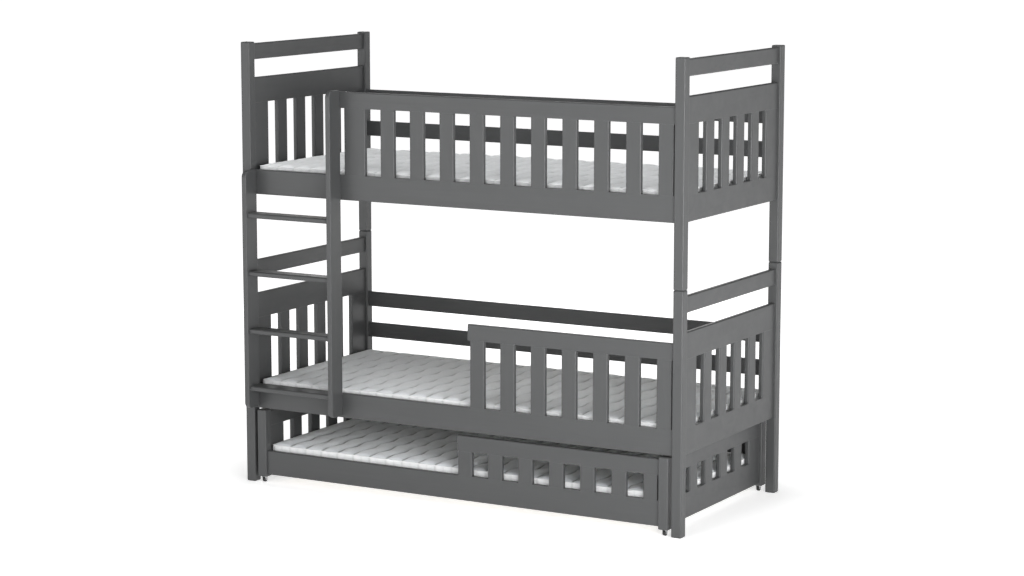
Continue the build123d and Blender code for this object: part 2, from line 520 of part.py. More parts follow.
with BuildPart() as trundle_end_lower_boards:
    with BuildSketch(Plane.XZ.offset(-(TY1 - POST))) as section:
        with Locations(*((x, TRUNDLE_RAIL_Z + RAIL_H / 2) for x in T_END_X)):
            Rectangle(BOARD, RAIL_H)
        fillet(section.vertices().group_by(Axis.Y)[0], radius=EDGE)
        fillet(section.vertices().group_by(Axis.Y)[-1], radius=CRISP)
    extrude(amount=TRUNDLE_D - 2 * POST)
trundle_end_lower_boards.part.label = "trundle_end_lower_boards"
export_step(trundle_end_lower_boards.part, "parts/trundle_end_lower_boards.step")

with BuildPart() as trundle_end_slats:
    t_last_w = TRUNDLE_D - POST - last_slot_end
    with BuildSketch(Plane.XY.offset(TRUNDLE_RAIL_Z + RAIL_H)) as section:
        for x in T_END_X:
            with Locations((x, TY0 + POST + first_w / 2)):
                Rectangle(BOARD, first_w)
            with Locations((x, TY0 + last_slot_end + t_last_w / 2)):
                Rectangle(BOARD, t_last_w)
            for k in range(END_SLOTS - 1):
                with Locations((x, TY0 + END_SLOT_Y + k * END_SLOT_PITCH + END_SLOT_W + narrow_w / 2)):
                    Rectangle(BOARD, narrow_w)
        free_corners = section.vertices().group_by(Axis.Y)[1:-1]
        fillet([v for row in free_corners for v in row], radius=END_EDGE)
    extrude(amount=TRUNDLE_PANEL_Z - TRUNDLE_RAIL_Z - RAIL_H)
trundle_end_slats.part.label = "trundle_end_slats"
export_step(trundle_end_slats.part, "parts/trundle_end_slats.step")

with BuildPart() as trundle_ledgers:
    with BuildSketch(Plane.YZ.offset(TX0 + POST + 1)):
        with Locations(
            (TY0 + BOARD_IN + BOARD + LEDGER_W / 2, TRUNDLE_LEDGER_Z + LEDGER_H / 2),
            (TY1 - BOARD_IN - BOARD - LEDGER_W / 2, TRUNDLE_LEDGER_Z + LEDGER_H / 2),
        ):
            Rectangle(LEDGER_W, LEDGER_H)
    extrude(amount=T_INNER_L - 2)
trundle_ledgers.part.label = "trundle_ledgers"
export_step(trundle_ledgers.part, "parts/trundle_ledgers.step")

with BuildPart() as trundle_bed_slats:
    with BuildSketch(Plane.XY.offset(TRUNDLE_LEDGER_Z + LEDGER_H)):
        with Locations((0, (TY0 + TY1) / 2)):
            with GridLocations(BED_SLAT_PITCH, 1, BED_SLATS - 1, 1):
                RectangleRounded(BED_SLAT_W, TRUNDLE_D - 2 * (BOARD_IN + BOARD) - 4, 3)
    extrude(amount=BED_SLAT_T)
trundle_bed_slats.part.label = "trundle_bed_slats"
export_step(trundle_bed_slats.part, "parts/trundle_bed_slats.step")

with BuildPart() as mattress_trundle:
    with BuildSketch(Plane.XY.offset(TRUNDLE_LEDGER_Z + LEDGER_H + BED_SLAT_T)):
        with Locations((0, (TY0 + TY1) / 2)):
            RectangleRounded(TRUNDLE_MATTRESS_L, TRUNDLE_MATTRESS_W, MATTRESS_CORNER)
    extrude(amount=MATTRESS_T)
    fillet(mattress_trundle.faces().sort_by(Axis.Z)[-1].edges(), radius=MATTRESS_EDGE)
    fillet(mattress_trundle.faces().sort_by(Axis.Z)[0].edges(), radius=MATTRESS_EDGE)
mattress_trundle.part.label = "mattress_trundle"
export_step(mattress_trundle.part, "parts/mattress_trundle.step")

# ---------------------------------------------------------------- casters, fixed, axles along X
AXLE_Z = WHEEL_D / 2
CHEEK_IN = WHEEL_W / 2 + CHEEK_GAP
with BuildPart() as caster_brackets:
    # plate under each post
    with BuildSketch(Plane.XY.offset(TRUNDLE_POST_Z - PLATE_T)):
        with Locations(*T_POSTS):
            RectangleRounded(34.0, 30.0, 3.0)
    extrude(amount=PLATE_T)
    # two cheeks that hold the axle
    for x, y in T_POSTS:
        for side in (-1, 1):
            with BuildSketch(Plane.YZ.offset(x + side * (CHEEK_IN + CHEEK_T / 2) - CHEEK_T / 2)) as cheek:
                with BuildLine():
                    Polyline(
                        (y - 11.0, TRUNDLE_POST_Z - PLATE_T),
                        (y - 4.5, AXLE_Z - 2.5),
                        (y - 2.5, AXLE_Z - 4.5),
                        (y + 2.5, AXLE_Z - 4.5),
                        (y + 4.5, AXLE_Z - 2.5),
                        (y + 11.0, TRUNDLE_POST_Z - PLATE_T),
                        close=True,
                    )
                make_face()
                with Locations((y, AXLE_Z)):
                    Circle(AXLE_D / 2 + 0.02, mode=Mode.SUBTRACT)
            extrude(amount=CHEEK_T)
    # screw holes in the plates' corners
    with BuildSketch(Plane.XY.offset(TRUNDLE_POST_Z - PLATE_T)):
        with Locations(*((x + dx, y + dy) for x, y in T_POSTS for dx in (-12.5, 12.5) for dy in (-10.0, 10.0))):
            Circle(1.75)
    extrude(amount=PLATE_T, mode=Mode.SUBTRACT)
caster_brackets.part.label = "caster_brackets"
export_step(caster_brackets.part, "parts/caster_brackets.step")

with BuildPart() as caster_axles:
    for x in T_END_X:
        half = CHEEK_IN + CHEEK_T
        with BuildSketch(Plane.YZ.offset(x - half - 1.0)):
            with Locations((TY0 + POST / 2, AXLE_Z), (TY1 - POST / 2, AXLE_Z)):
                Circle(AXLE_D / 2)
        extrude(amount=2 * half + 2.0)
        # formed heads outside both cheeks
        for start in (x - half - 1.2, x + half):
            with BuildSketch(Plane.YZ.offset(start)):
                with Locations((TY0 + POST / 2, AXLE_Z), (TY1 - POST / 2, AXLE_Z)):
                    Circle(AXLE_D / 2 + 1.2)
            extrude(amount=1.2)
caster_axles.part.label = "caster_axles"
export_step(caster_axles.part, "parts/caster_axles.step")

for wheel_name, x, y in (
    ("front_left", T_END_X[0], TY0 + POST / 2),
    ("front_right", T_END_X[1], TY0 + POST / 2),
    ("back_left", T_END_X[0], TY1 - POST / 2),
    ("back_right", T_END_X[1], TY1 - POST / 2),
):
    with BuildPart() as caster_wheel:
        with BuildSketch(Plane.YZ.offset(x - WHEEL_W / 2)):
            with Locations((y, AXLE_Z)):
                Circle(WHEEL_D / 2)
        extrude(amount=WHEEL_W)
        fillet(caster_wheel.edges().filter_by(GeomType.CIRCLE), radius=1.8)
        # shallow ring round the hub on both faces
        for face_x, inward in ((x - WHEEL_W / 2, 1), (x + WHEEL_W / 2, -1)):
            with BuildSketch(Plane.YZ.offset(face_x)):
                with Locations((y, AXLE_Z)):
                    Circle(7.6)
                    Circle(4.2, mode=Mode.SUBTRACT)
            extrude(amount=inward * 2.0, mode=Mode.SUBTRACT)
        # running bore
        with BuildSketch(Plane.YZ.offset(x - WHEEL_W / 2)):
            with Locations((y, AXLE_Z)):
                Circle(AXLE_D / 2 + 0.05)
        extrude(amount=WHEEL_W, mode=Mode.SUBTRACT)
    caster_wheel.part.label = f"caster_wheel_{wheel_name}"
    export_step(caster_wheel.part, f"parts/caster_wheel_{wheel_name}.step")
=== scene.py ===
import math

import bmesh
import bpy
import numpy as np
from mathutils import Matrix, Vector


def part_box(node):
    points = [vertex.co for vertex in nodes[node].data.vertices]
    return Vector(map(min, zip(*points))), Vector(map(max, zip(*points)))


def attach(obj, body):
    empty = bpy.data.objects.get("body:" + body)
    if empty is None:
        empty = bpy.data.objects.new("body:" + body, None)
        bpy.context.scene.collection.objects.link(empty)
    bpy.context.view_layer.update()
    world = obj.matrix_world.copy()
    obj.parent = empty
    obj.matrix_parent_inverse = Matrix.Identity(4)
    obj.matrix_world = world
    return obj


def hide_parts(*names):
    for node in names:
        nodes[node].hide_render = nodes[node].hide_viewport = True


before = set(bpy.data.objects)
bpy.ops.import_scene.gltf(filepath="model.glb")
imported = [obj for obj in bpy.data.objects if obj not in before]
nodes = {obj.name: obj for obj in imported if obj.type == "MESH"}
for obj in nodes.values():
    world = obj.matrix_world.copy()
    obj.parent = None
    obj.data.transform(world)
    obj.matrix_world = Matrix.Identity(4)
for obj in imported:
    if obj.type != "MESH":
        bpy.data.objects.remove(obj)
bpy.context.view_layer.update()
scene = bpy.context.scene


# ---------------------------------------------------------------- shader helpers
class Shade:
    """One node material with a Principled shader."""

    def __init__(self, name):
        self.mat = bpy.data.materials.new(name)
        self.mat.use_nodes = True
        self.tree = self.mat.node_tree
        self.tree.nodes.clear()
        out = self.add("ShaderNodeOutputMaterial")
        self.bsdf = self.add("ShaderNodeBsdfPrincipled")
        self.link(self.bsdf.outputs[0], out.inputs["Surface"])
        self.place = self.add("ShaderNodeTexCoord").outputs["Object"]

    def add(self, kind, **values):
        node = self.tree.nodes.new(kind)
        for key, value in values.items():
            setattr(node, key, value)
        return node

    def link(self, a, b):
        self.tree.links.new(a, b)

    def put(self, socket, value):
        if isinstance(value, bpy.types.NodeSocket):
            self.link(value, socket)
        else:
            socket.default_value = value

    def math(self, op, a, b=None, c=None, clamp=False):
        n = self.add("ShaderNodeMath", operation=op, use_clamp=clamp)
        for socket, value in zip(n.inputs, (a, b, c)):
            if value is not None:
                self.put(socket, value)
        return n.outputs[0]

    def vmath(self, op, a, b=None):
        n = self.add("ShaderNodeVectorMath", operation=op)
        self.put(n.inputs[0], a)
        if b is not None:
            self.put(n.inputs[1], b)
        return n.outputs["Value"] if op in ("DOT_PRODUCT", "LENGTH") else n.outputs[0]

    def stretch(self, scale, vector=None, shift=None):
        v = self.place if vector is None else vector
        if shift is not None:
            v = self.vmath("ADD", v, shift)
        return self.vmath("MULTIPLY", v, scale)

    def noise(self, vector, scale=1.0, detail=2.0, rough=0.5, distort=0.0):
        n = self.add("ShaderNodeTexNoise")
        self.put(n.inputs["Vector"], vector)
        n.inputs["Scale"].default_value = scale
        n.inputs["Detail"].default_value = detail
        n.inputs["Roughness"].default_value = rough
        n.inputs["Distortion"].default_value = distort
        return n.outputs["Fac"]

    def span(self, value, from_lo, from_hi, to_lo, to_hi, smooth=False):
        n = self.add("ShaderNodeMapRange", interpolation_type="SMOOTHSTEP" if smooth else "LINEAR")
        self.put(n.inputs["Value"], value)
        for key, v in (("From Min", from_lo), ("From Max", from_hi), ("To Min", to_lo), ("To Max", to_hi)):
            self.put(n.inputs[key], v)
        return n.outputs["Result"]

    def mix(self, factor, a, b, blend="MIX"):
        n = self.add("ShaderNodeMix", data_type="RGBA", blend_type=blend)
        self.put(n.inputs[0], factor)
        self.put(n.inputs[6], (*a, 1) if isinstance(a, tuple) and len(a) == 3 else a)
        self.put(n.inputs[7], (*b, 1) if isinstance(b, tuple) and len(b) == 3 else b)
        return n.outputs[2]

    def grey(self, value):
        n = self.add("ShaderNodeCombineColor")
        for socket in n.inputs[:3]:
            self.put(socket, value)
        return n.outputs[0]

    def bump(self, height, strength, distance, normal=None):
        n = self.add("ShaderNodeBump")
        n.inputs["Strength"].default_value = strength
        n.inputs["Distance"].default_value = distance
        self.put(n.inputs["Height"], height)
        if normal is not None:
            self.link(normal, n.inputs["Normal"])
        return n.outputs[0]

    def island(self):
        """A random number for each separate solid, so two slats never look cut from one piece."""
        return self.add("ShaderNodeNewGeometry").outputs["Random Per Island"]

    def attribute(self, name):
        return self.add("ShaderNodeAttribute", attribute_name=name).outputs["Fac"]

    def edge(self, radius):
        """1 close to an edge of the solid, 0 on its flats."""
        bevel = self.add("ShaderNodeBevel", samples=4)
        bevel.inputs["Radius"].default_value = radius
        flat = self.add("ShaderNodeNewGeometry").outputs["Normal"]
        return self.span(self.vmath("DOT_PRODUCT", bevel.outputs[0], flat), 0.995, 0.80, 0.0, 1.0)

    def set(self, **values):
        for key, value in values.items():
            self.put(self.bsdf.inputs[key.replace("_", " ")], value)
        return self.mat


AXIS = {"x": (1, 0, 0), "y": (0, 1, 0), "z": (0, 0, 1)}


def along(direction, fine, coarse):
    """Scale that makes a texture fine across a board and drawn out along it."""
    return tuple(coarse if a else fine for a in AXIS[direction])


# ---------------------------------------------------------------- materials of the frame
PAINT = (0.0600, 0.0615, 0.0624)


def paint(direction):
    """Sprayed satin graphite paint over planed wood: faint grain under the film, orange peel, and a paler band on the
    edges that is part wear and part painted highlight.
    """
    s = Shade(f"graphite_paint_{direction}")
    offset = s.vmath("SCALE", (1.7, 0.9, 2.3))
    seed = s.island()
    s.link(seed, offset.node.inputs["Scale"])
    place = s.vmath("ADD", s.place, offset)
    # annual rings that show through the paint, drawn out along the board
    rings = s.noise(s.stretch(along(direction, 75.0, 2.6), place), 1.0, 4.0, 0.62, 0.7)
    pores = s.noise(s.stretch(along(direction, 900.0, 26.0), place), 1.0, 2.0, 0.6)
    peel = s.noise(place, 620.0, 1.0, 0.4)
    cloud = s.noise(place, 2.3, 3.0, 0.55)
    smudge = s.noise(place, 17.0, 4.0, 0.6, 0.4)
    edge = s.edge(0.0028)
    tone = s.math("ADD", s.span(cloud, 0.3, 0.7, 0.965, 1.035), s.span(rings, 0.3, 0.7, -0.028, 0.028))
    tone = s.math("ADD", tone, s.span(seed, 0.0, 1.0, -0.009, 0.009))
    body = s.mix(1.0, PAINT, s.grey(tone), "MULTIPLY")
    # the rounded edges are painted paler, part rubbed wear and part painted highlight, strongest on the upright pieces
    least, most, pale = (0.22, 0.60, 1.85) if direction == "z" else (0.10, 0.42, 1.55)
    rubbed_and_highlight = s.math("MULTIPLY", edge, s.span(smudge, 0.42, 0.62, least, most))
    colour = s.mix(rubbed_and_highlight, body, tuple(min(1.0, c * pale) for c in PAINT))
    rough = s.math("ADD", s.span(smudge, 0.3, 0.7, 0.37, 0.47), s.math("MULTIPLY", edge, -0.05))
    height = s.math("ADD", s.math("MULTIPLY", rings, 0.55), s.math("MULTIPLY", pores, 0.30))
    normal = s.bump(height, 0.42, 0.00030)
    normal = s.bump(peel, 0.22, 0.00010, normal)
    return s.set(Base_Color=colour, Roughness=rough, Normal=normal, Specular_IOR_Level=0.32, IOR=1.48, Coat_Weight=0.08, Coat_Roughness=0.35)


def bare_wood(direction):
    """Planed pale pine: long rings, fine pores, a knot here and there."""
    s = Shade(f"bare_pine_{direction}")
    seed = s.island()
    offset = s.vmath("SCALE", (3.1, 1.9, 4.7))
    s.link(seed, offset.node.inputs["Scale"])
    place = s.vmath("ADD", s.place, offset)
    bend = s.noise(place, 3.0, 2.0, 0.5)
    wave = s.add("ShaderNodeTexWave", wave_type="RINGS", rings_direction=direction.upper(), wave_profile="SAW")
    s.put(wave.inputs["Vector"], s.stretch(along(direction, 34.0, 1.2), place))
    wave.inputs["Scale"].default_value = 1.0
    wave.inputs["Distortion"].default_value = 7.0
    wave.inputs["Detail"].default_value = 3.0
    wave.inputs["Detail Scale"].default_value = 0.8
    fibres = s.noise(s.stretch(along(direction, 1100.0, 22.0), place), 1.0, 3.0, 0.65)
    knots = s.noise(s.stretch(along(direction, 26.0, 6.0), place), 1.0, 0.0)
    early, late = (0.62, 0.572, 0.505), (0.50, 0.442, 0.370)
    colour = s.mix(s.span(wave.outputs["Fac"], 0.25, 0.95, 0.0, 0.75, True), early, late)
    colour = s.mix(s.span(fibres, 0.35, 0.75, 0.0, 0.22), colour, (0.40, 0.31, 0.22))
    colour = s.mix(s.span(knots, 0.80, 0.86, 0.0, 0.8, True), colour, (0.24, 0.13, 0.06))
    tone = s.math("ADD", s.span(seed, 0.0, 1.0, 0.90, 1.06), s.span(bend, 0.3, 0.7, -0.04, 0.04))
    colour = s.mix(1.0, colour, s.grey(tone), "MULTIPLY")
    height = s.math("ADD", s.math("MULTIPLY", fibres, 0.6), s.math("MULTIPLY", wave.outputs["Fac"], 0.4))
    return s.set(Base_Color=colour, Roughness=s.span(fibres, 0.3, 0.7, 0.55, 0.72), Normal=s.bump(height, 0.35, 0.0003), Specular_IOR_Level=0.35)


def zinc_steel():
    s = Shade("zinc_plated_steel")
    brushed = s.noise(s.stretch((1400.0, 160.0, 1400.0)), 1.0, 2.0, 0.6)
    spangle = s.noise(s.place, 170.0, 3.0, 0.6)
    edge = s.edge(0.0006)
    colour = s.mix(s.span(spangle, 0.35, 0.65, 0.0, 1.0), (0.47, 0.48, 0.50), (0.60, 0.60, 0.60))
    colour = s.mix(s.math("MULTIPLY", edge, 0.5), colour, (0.78, 0.78, 0.77))
    return s.set(Base_Color=colour, Metallic=1.0, Roughness=s.span(brushed, 0.25, 0.75, 0.26, 0.46), Normal=s.bump(brushed, 0.2, 0.00006))


def wheel_plastic():
    s = Shade("caster_wheel_plastic")
    grain = s.noise(s.place, 2600.0, 1.0, 0.5)
    dust = s.noise(s.place, 210.0, 4.0, 0.65)
    edge = s.edge(0.0007)
    colour = s.mix(s.span(dust, 0.45, 0.75, 0.0, 0.45), (0.013, 0.013, 0.0135), (0.062, 0.060, 0.057))
    colour = s.mix(s.math("MULTIPLY", edge, 0.35), colour, (0.085, 0.084, 0.082))
    return s.set(Base_Color=colour, Roughness=s.span(dust, 0.3, 0.7, 0.42, 0.6), Normal=s.bump(grain, 0.25, 0.00005), Specular_IOR_Level=0.45)


# one paint per grain direction; the upright one carries the strongest painted edge highlight
PAINTED = {d: paint(d) for d in "xyz"}
PINE = {d: bare_wood(d) for d in "xy"}
STEEL = zinc_steel()
PLASTIC = wheel_plastic()


def finish_of(name):
    if name.startswith("caster_wheel"):
        return PLASTIC
    if name in ("caster_brackets", "caster_axles", "rail_bolts", "barrel_nuts", "ladder_bolts", "post_joint_pins"):
        return STEEL
    if name.endswith("bed_slats"):
        return PINE["y"]
    if name.endswith("ledgers"):
        return PINE["x"]
    if "end_slats" in name or "guard_slats" in name or "post" in name or "stile" in name:
        return PAINTED["z"]
    if "_end_" in name:
        return PAINTED["y"]
    return PAINTED["x"]


for name, obj in nodes.items():
    if name.startswith("mattress"):
        continue
    obj.data.materials.clear()
    obj.data.materials.append(finish_of(name))


# ---------------------------------------------------------------- fabrics
def knit(s, scale=1.0):
    """Height of a fine jersey knit, columns of small loops, in row-frame metres."""
    def rows(axis, size, shift):
        part = s.add("ShaderNodeSeparateXYZ")
        s.link(s.place, part.inputs[0])
        u = s.math("MULTIPLY", part.outputs[axis], 2 * math.pi / (size * scale))
        return s.math("SINE", s.math("ADD", u, shift))
    warp = s.math("MULTIPLY", s.noise(s.place, 45.0, 1.0), 3.0)
    x = rows("X", 0.0016, warp)
    y = rows("Y", 0.0012, warp)
    z = rows("Z", 0.0012, warp)
    return s.math("ADD", s.math("ABSOLUTE", x), s.math("MULTIPLY", s.math("ADD", s.math("ABSOLUTE", y), s.math("ABSOLUTE", z)), 0.5))


def cover_fabric(name, tone, gutter_shade):
    """White quilted cover. The mesh carries how far each point is from its seam (seam_u) and how far along it (seam_v), in metres."""
    s = Shade(name)
    u = s.attribute("seam_u")
    v = s.attribute("seam_v")
    loops = knit(s)
    blotch = s.noise(s.place, 6.0, 3.0, 0.6)
    lint = s.noise(s.place, 900.0, 3.0, 0.7)
    # pulled creases that run off each sewn line
    creases = s.noise(s.vmath("MULTIPLY", s.place, (18.0, 105.0, 105.0)), 1.0, 3.0, 0.6, 0.8)
    near = s.math("POWER", 2.718, s.math("MULTIPLY", u, -95.0))
    # the wadding under the cover is never quite even
    wadding = s.noise(s.vmath("MULTIPLY", s.place, (52.0, 84.0, 84.0)), 1.0, 4.0, 0.62, 0.5)
    # thread: short stitches with a gap between each
    dash = s.span(s.math("SINE", s.math("MULTIPLY", v, 2 * math.pi / 0.0042)), -0.5, 0.1, 0.0, 1.0, True)
    line = s.span(u, 0.0003, 0.0010, 1.0, 0.0, True)
    thread = s.math("MULTIPLY", dash, line)
    # painted shade in the trench, more in some places than in others
    gutter = s.span(u, 0.0, 0.0068, 1.0, 0.0, True)
    drawn = s.span(s.noise(s.place, 11.0, 2.0, 0.5), 0.36, 0.64, 0.60, 1.0)
    colour = s.mix(s.span(blotch, 0.3, 0.7, 0.0, 1.0), tuple(c * 0.975 for c in tone), tone)
    colour = s.mix(s.span(wadding, 0.38, 0.62, 0.0, 1.0), tuple(c * 0.94 for c in tone), colour)
    # painted shade: the cover is darker close to each sewn line, where the puffs slope down into it
    colour = s.mix(s.math("MULTIPLY", near, 0.20), colour, tuple(c * 0.60 for c in tone))
    # painted shade darkens the trench beside each sewn line
    colour = s.mix(s.math("MULTIPLY", s.math("MULTIPLY", gutter, gutter_shade), drawn), colour, tuple(c * 0.34 for c in tone))
    colour = s.mix(s.math("MULTIPLY", thread, 0.55), colour, tuple(c * 0.92 for c in tone))
    height = s.math("ADD", s.math("MULTIPLY", loops, 0.16), s.math("MULTIPLY", lint, 0.12))
    normal = s.bump(height, 0.35, 0.00045)
    normal = s.bump(wadding, 0.6, 0.0028, normal)
    normal = s.bump(s.math("MULTIPLY", creases, near), 0.55, 0.0040, normal)
    normal = s.bump(s.math("SUBTRACT", s.math("MULTIPLY", thread, 0.8), gutter), 0.5, 0.0010, normal)
    return s.set(Base_Color=colour, Roughness=0.92, Normal=normal, Specular_IOR_Level=0.15, Sheen_Weight=0.25, Sheen_Roughness=0.5)


def welt_fabric():
    """Ribbed bias strip over the cord in the seam of panel and border."""
    s = Shade("mattress_welt")
    v = s.attribute("seam_v")
    u = s.attribute("seam_u")
    ribs = s.math("ABSOLUTE", s.math("SINE", s.math("ADD", s.math("MULTIPLY", v, 2 * math.pi / 0.0034), s.math("MULTIPLY", u, 900.0))))
    foot = s.span(s.math("ABSOLUTE", u), 0.0011, 0.0018, 0.0, 1.0, True)
    lint = s.noise(s.place, 1200.0, 2.0, 0.6)
    colour = s.mix(s.math("MULTIPLY", ribs, 0.25), (0.87, 0.875, 0.88), (0.78, 0.785, 0.79))
    # painted shade on the welt where it meets the cover
    colour = s.mix(s.math("MULTIPLY", foot, 0.45), colour, (0.52, 0.52, 0.53))
    height = s.math("ADD", s.math("MULTIPLY", ribs, 0.4), s.math("MULTIPLY", lint, 0.15))
    return s.set(Base_Color=colour, Roughness=0.85, Normal=s.bump(height, 0.5, 0.0004), Specular_IOR_Level=0.2, Sheen_Weight=0.2, Sheen_Roughness=0.4)


# copies of one panel fabric, differing a little in tone and in how much shade is painted into the trenches
PANEL_FABRIC = cover_fabric("mattress_panel_fabric", (0.825, 0.860, 0.890), 0.95)
LOWER_FABRIC_LESS_SHADE = cover_fabric("mattress_panel_fabric_lower", (0.820, 0.850, 0.875), 0.62)
UPPER_FABRIC_LEAST_SHADE = cover_fabric("mattress_panel_fabric_upper", (0.840, 0.855, 0.865), 0.42)      # lightest painted trench shade of the three
BORDER_FABRIC = cover_fabric("mattress_border_fabric", (0.925, 0.935, 0.940), 0.20)
WELT_FABRIC = welt_fabric()


# ---------------------------------------------------------------- mattresses
WAVE_LEN, WAVE_AMP = 0.152, 0.0058
CHANNEL_STOPS = (0.0, 0.035, 0.11, 0.27, 0.5, 0.73, 0.89, 0.965)      # mesh columns of a channel, close together beside its seams
PER_CHANNEL = len(CHANNEL_STOPS)
EDGE_STEPS = (0.0, 0.003, 0.007, 0.014)
CORNER = 0.014
EDGE_ROUND = 0.0065
TRENCH = 0.0030           # how far the thread pulls the cover down into the foam


def smooth(x):
    x = np.clip(x, 0.0, 1.0)
    return x * x * (3 - 2 * x)


def steps(length, inner):
    """Lattice stops along one side: close together at both edges, then `inner` equal cells."""
    edge = np.array(EDGE_STEPS)
    middle = np.linspace(edge[-1], length - edge[-1], inner + 1)
    return np.concatenate([edge[:-1], middle, length - edge[:-1][::-1]])


def channel_steps(length, channels):
    """Stops across the channels, between the same close edge stops."""
    edge = np.array(EDGE_STEPS)
    pitch = (length - 2 * edge[-1]) / channels
    middle = np.concatenate([edge[-1] + pitch * (c + np.array(CHANNEL_STOPS)) for c in range(channels)])
    return np.concatenate([edge[:-1], middle, length - edge[::-1]])


def lattice(length, width, thick, channels):
    """A closed box of quads whose columns on the panels follow the sewn waves. Returns the mesh data and where the seams are."""
    sx = channel_steps(length, channels)
    sy = steps(width, 42)
    sz = steps(thick, 5)
    nx, ny, nz = len(sx) - 1, len(sy) - 1, len(sz) - 1
    index, points, cell = {}, [], []

    def vertex(i, j, k):
        key = (i, j, k)
        if key not in index:
            index[key] = len(points)
            points.append((sx[i] - length / 2, sy[j] - width / 2, sz[k]))
            cell.append(key)
        return index[key]

    faces, side = [], []
    for k, flip in ((0, True), (nz, False)):
        for i in range(nx):
            for j in range(ny):
                q = [vertex(i, j, k), vertex(i + 1, j, k), vertex(i + 1, j + 1, k), vertex(i, j + 1, k)]
                faces.append(q[::-1] if flip else q)
                side.append(0 if flip else 1)
    for j, flip in ((0, False), (ny, True)):
        for i in range(nx):
            for k in range(nz):
                q = [vertex(i, j, k), vertex(i + 1, j, k), vertex(i + 1, j, k + 1), vertex(i, j, k + 1)]
                faces.append(q[::-1] if flip else q)
                side.append(2)
    for i, flip in ((0, True), (nx, False)):
        for j in range(ny):
            for k in range(nz):
                q = [vertex(i, j, k), vertex(i, j + 1, k), vertex(i, j + 1, k + 1), vertex(i, j, k + 1)]
                faces.append(q[::-1] if flip else q)
                side.append(3)
    return np.array(points), np.array(cell), faces, side, (nx, ny, nz)


def shape(p, length, width, thick):
    """Rounds the plan corners and the long edges, and lays the columns along the waves."""
    x, y, z = p[:, 0].copy(), p[:, 1].copy(), p[:, 2].copy()
    # waves fade out beside the border
    room = np.minimum(np.minimum(length / 2 - np.abs(x), 0.07) / 0.07, 1.0)
    room *= smooth((width / 2 - np.abs(y)) / 0.030)
    x = x + WAVE_AMP * smooth(room) * np.sin(2 * np.pi * y / WAVE_LEN)
    # plan corners
    cx = np.clip(x, -(length / 2 - CORNER), length / 2 - CORNER)
    cy = np.clip(y, -(width / 2 - CORNER), width / 2 - CORNER)
    dx, dy = x - cx, y - cy
    r = np.hypot(dx, dy)
    m = np.maximum(np.abs(dx), np.abs(dy))
    f = np.where(r > 1e-9, m / np.maximum(r, 1e-9), 1.0)
    dx, dy = dx * f, dy * f
    # long edges, above and below
    dist = np.where(m > 1e-9, CORNER - m, CORNER)
    low = z < thick / 2
    gap = np.where(low, z, thick - z)
    a, b = np.maximum(EDGE_ROUND - dist, 0), np.maximum(EDGE_ROUND - gap, 0)
    both = (a > 0) & (b > 0)
    rr, mm = np.hypot(a, b), np.maximum(a, b)
    g = np.where(both, mm / np.maximum(rr, 1e-9), 1.0)
    a2, b2 = a * g, b * g
    new_dist = np.where(both, EDGE_ROUND - a2, dist)
    new_gap = np.where(both, EDGE_ROUND - b2, gap)
    shrink = np.where(m > 1e-9, (CORNER - new_dist) / np.maximum(CORNER - dist, 1e-9), 1.0)
    dx, dy = dx * shrink, dy * shrink
    z = np.where(low, new_gap, thick - new_gap)
    return np.stack([cx + dx, cy + dy, z], 1)


def mesh_object(name, points, faces, material=None):
    mesh = bpy.data.meshes.new(name)
    mesh.from_pydata([tuple(p) for p in points], [], faces)
    mesh.update()
    obj = bpy.data.objects.new(name, mesh)
    scene.collection.objects.link(obj)
    if material is not None:
        mesh.materials.append(material)
    return obj


def coords(mesh):
    co = np.zeros(len(mesh.vertices) * 3)
    mesh.vertices.foreach_get("co", co)
    return co.reshape(-1, 3)


def seam_vertices(cell, n):
    """True for each vertex on a sewn wave of the panels."""
    nx, ny, nz = n
    i, j, k = cell.T
    first = len(EDGE_STEPS) - 1
    on_panel = (k == 0) | (k == nz)
    return on_panel & (i > first) & (i < nx - first) & ((i - first) % PER_CHANNEL == 0)


def inflate(points, faces, cell, n, frames=20):
    """Cloth with pressure: the cover swells between its sewn lines, which stay put."""
    nx, ny, nz = n
    i, j, k = cell.T
    obj = mesh_object("cover_trial", points, faces)
    held = seam_vertices(cell, n) | (k == 0)
    rim = ((k <= 2) | (k >= nz - 2)) & ((i <= 2) | (i >= nx - 2) | (j <= 2) | (j >= ny - 2))
    held |= rim
    edge_first = len(EDGE_STEPS) - 1
    upright = ((j == 0) | (j == ny)) & ((i - edge_first) % (PER_CHANNEL // 2) == 0)
    upright |= ((i == 0) | (i == nx)) & ((j - edge_first) % 2 == 0)
    held |= upright
    group = obj.vertex_groups.new(name="held")
    group.add([int(v) for v in np.nonzero(held)[0]], 1.0, "REPLACE")
    mod = obj.modifiers.new("cloth", "CLOTH")
    c = mod.settings
    c.quality = 5
    c.mass = 0.25
    c.tension_stiffness = c.compression_stiffness = 15
    c.shear_stiffness = 10
    c.bending_stiffness = 4.0
    c.tension_damping = c.compression_damping = 12
    c.use_pressure = True
    c.uniform_pressure_force = 14.0
    c.vertex_group_mass = "held"
    c.effector_weights.gravity = 0.0
    c.shrink_min = -0.005
    mod.collision_settings.use_collision = False
    mod.collision_settings.use_self_collision = False
    mod.point_cache.frame_start, mod.point_cache.frame_end = 1, frames
    scene.frame_start, scene.frame_end = 1, frames
    for f in range(1, frames + 1):
        scene.frame_set(f)
    evaluated = obj.evaluated_get(bpy.context.evaluated_depsgraph_get())
    moved = coords(evaluated.to_mesh())
    evaluated.to_mesh_clear()
    scene.frame_set(1)
    bpy.data.objects.remove(obj, do_unlink=True)
    return moved


LENGTH0, WIDTH0, THICK0, CHANNELS0 = 1.886, 0.802, 0.081, 24
PITCH0 = (LENGTH0 - 2 * EDGE_STEPS[-1]) / CHANNELS0
PLUMP = 2.1               # quilt wadding stands higher than the simulated skin alone


